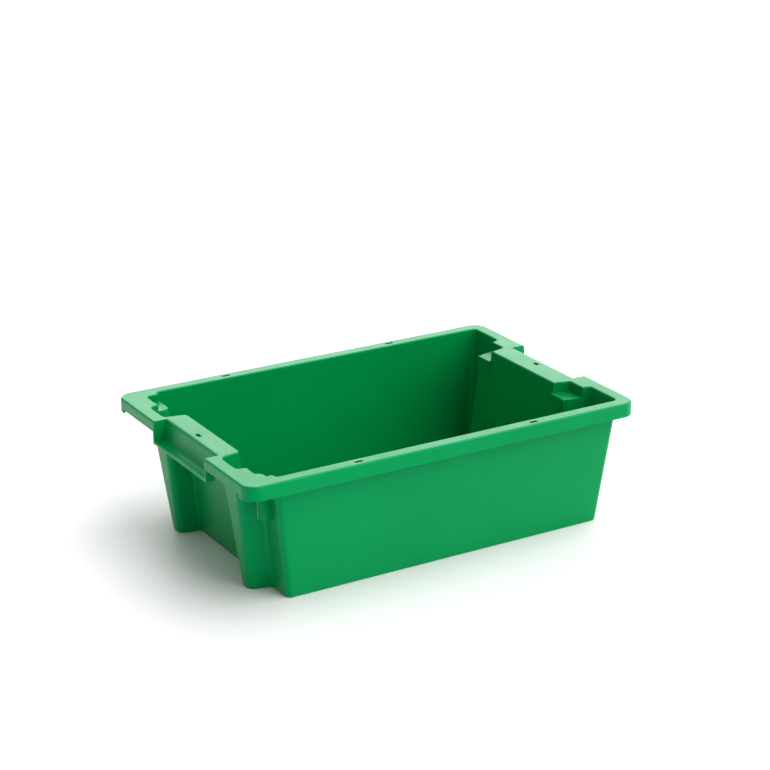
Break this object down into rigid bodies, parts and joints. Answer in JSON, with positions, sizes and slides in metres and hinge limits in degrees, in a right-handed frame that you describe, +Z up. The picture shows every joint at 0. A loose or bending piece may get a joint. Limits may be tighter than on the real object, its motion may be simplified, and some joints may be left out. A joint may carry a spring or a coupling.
{
  "type": "stack-and-nest storage crate",
  "caption": "Open-topped rigid plastic crate that stacks or nests when turned half round, with end handles, hollow legs and stacking seats.",
  "frame": {"origin": "middle of the footprint, on the ground", "axes": "+X along the length, with the two hollow legs at -X; +Y across the width; +Z up"},
  "size_m": [0.6, 0.4, 0.18],
  "materials": {
    "green_polypropylene": "satin moulded"
  },
  "bodies": {
    "root": {"floor_main": "green_polypropylene", "floor_legs": "green_polypropylene", "floor_columns": "green_polypropylene", "wall_long_near": "green_polypropylene", "wall_long_far": "green_polypropylene", "wall_recess_left": "green_polypropylene", "wall_recess_right": "green_polypropylene", "wall_step_near": "green_polypropylene", "wall_step_far": "green_polypropylene", "leg_outer_near": "green_polypropylene", "leg_outer_far": "green_polypropylene", "leg_end_near": "green_polypropylene", "leg_end_far": "green_polypropylene", "leg_inner_near": "green_polypropylene", "leg_inner_far": "green_polypropylene", "column_side_near": "green_polypropylene", "column_side_far": "green_polypropylene", "column_end_near": "green_polypropylene", "column_end_far": "green_polypropylene", "seat_left_near": "green_polypropylene", "seat_left_far": "green_polypropylene", "seat_right_near": "green_polypropylene", "seat_right_far": "green_polypropylene", "pocket_wall_left_near": "green_polypropylene", "pocket_wall_left_far": "green_polypropylene", "pocket_wall_right_near": "green_polypropylene", "pocket_wall_right_far": "green_polypropylene", "seat_wedges": "green_polypropylene", "seat_ribs": "green_polypropylene", "seat_fins": "green_polypropylene", "rim_top_near": "green_polypropylene", "rim_top_far": "green_polypropylene", "rim_top_left_near": "green_polypropylene", "rim_top_left_far": "green_polypropylene", "rim_top_right_near": "green_polypropylene", "rim_top_right_far": "green_polypropylene", "skirt_near": "green_polypropylene", "skirt_far": "green_polypropylene", "skirt_corners_left": "green_polypropylene", "skirt_corners_right": "green_polypropylene", "skirt_ends_left": "green_polypropylene", "skirt_ends_right": "green_polypropylene", "handle_top_left": "green_polypropylene", "handle_top_right": "green_polypropylene", "handle_web_left": "green_polypropylene", "handle_web_right": "green_polypropylene", "handle_lip_left": "green_polypropylene", "handle_lip_right": "green_polypropylene", "handle_cheeks_left": "green_polypropylene", "handle_cheeks_right": "green_polypropylene"}
  },
  "joints": []
}
